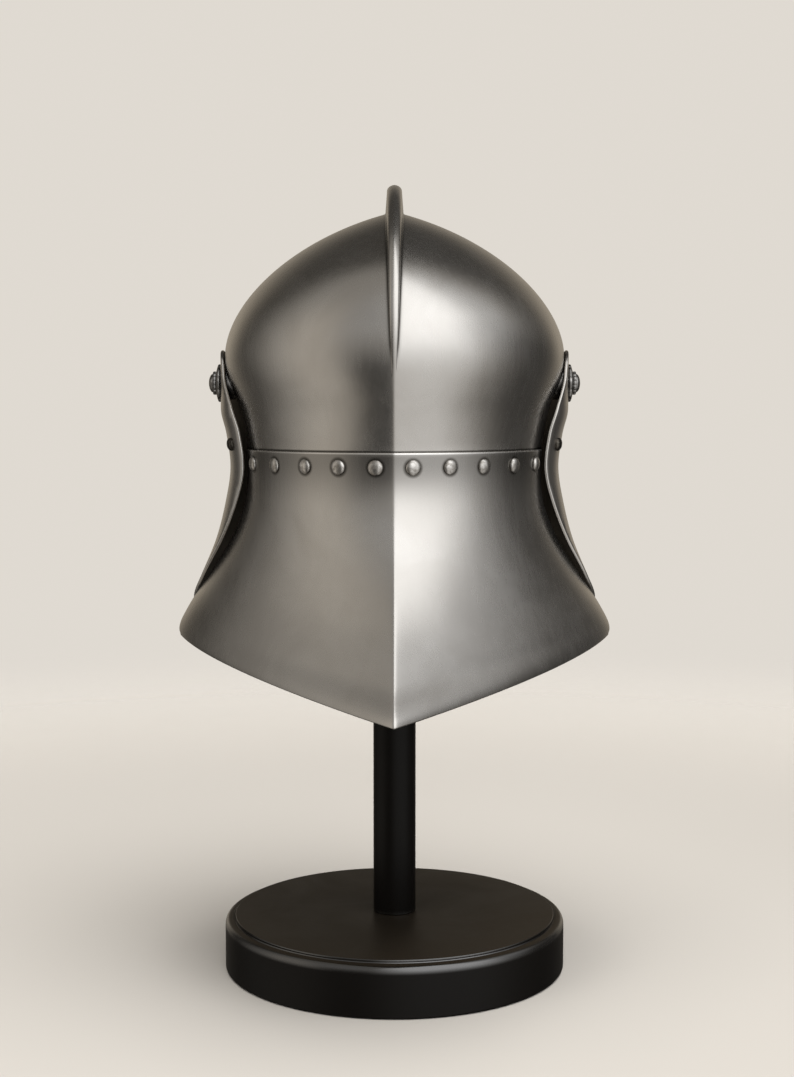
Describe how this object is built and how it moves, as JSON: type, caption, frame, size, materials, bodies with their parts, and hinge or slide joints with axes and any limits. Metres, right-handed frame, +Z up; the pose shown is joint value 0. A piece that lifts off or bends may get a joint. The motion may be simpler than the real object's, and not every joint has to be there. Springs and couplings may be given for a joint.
{
  "type": "sallet helmet on a display stand",
  "caption": "Combed steel helmet with a hinged face plate and a riveted, flared neck guard, on a plain round stand.",
  "frame": {"origin": "centre of the underside of the stand's base, on the table", "axes": "+Z up along the pole, +Y the way the face plate looks, -Y towards the tip of the neck guard, +X to the right of a wearer"},
  "size_m": [0.2754, 0.3312, 0.4973],
  "materials": {
    "plate_steel": "satin polished steel plate with a warm grey tone",
    "rivet_bright": "polished steel rivet heads",
    "rivet_dark": "darkened steel rivet heads",
    "pivot_dark": "gunmetal washers and bolt heads",
    "stand_black": "black satin paint"
  },
  "bodies": {
    "root": {"skull": "plate_steel", "tail_plate": "plate_steel", "tail_rivet_left_1": "rivet_bright", "tail_rivet_left_2": "rivet_bright", "tail_rivet_left_3": "rivet_bright", "tail_rivet_left_4": "rivet_bright", "tail_rivet_left_5": "rivet_bright", "tail_rivet_right_1": "rivet_bright", "tail_rivet_right_2": "rivet_bright", "tail_rivet_right_3": "rivet_bright", "tail_rivet_right_4": "rivet_bright", "tail_rivet_right_5": "rivet_bright", "pivot_spacer_left": "pivot_dark", "pivot_rosette_left": "pivot_dark", "pivot_bolt_left": "pivot_dark", "pivot_spacer_right": "pivot_dark", "pivot_rosette_right": "pivot_dark", "pivot_bolt_right": "pivot_dark", "stand_base": "stand_black", "stand_pole": "stand_black"},
    "visor": {"visor_plate": "plate_steel", "visor_rivet_left": "rivet_dark", "visor_rivet_right": "rivet_dark"}
  },
  "joints": [
    {"name": "visor_pivot", "type": "hinge", "parent": "root", "child": "visor", "pos_m": [0, 0.012, 0.374], "axis": [1, 0, 0], "range_deg": [0, 50]}
  ]
}
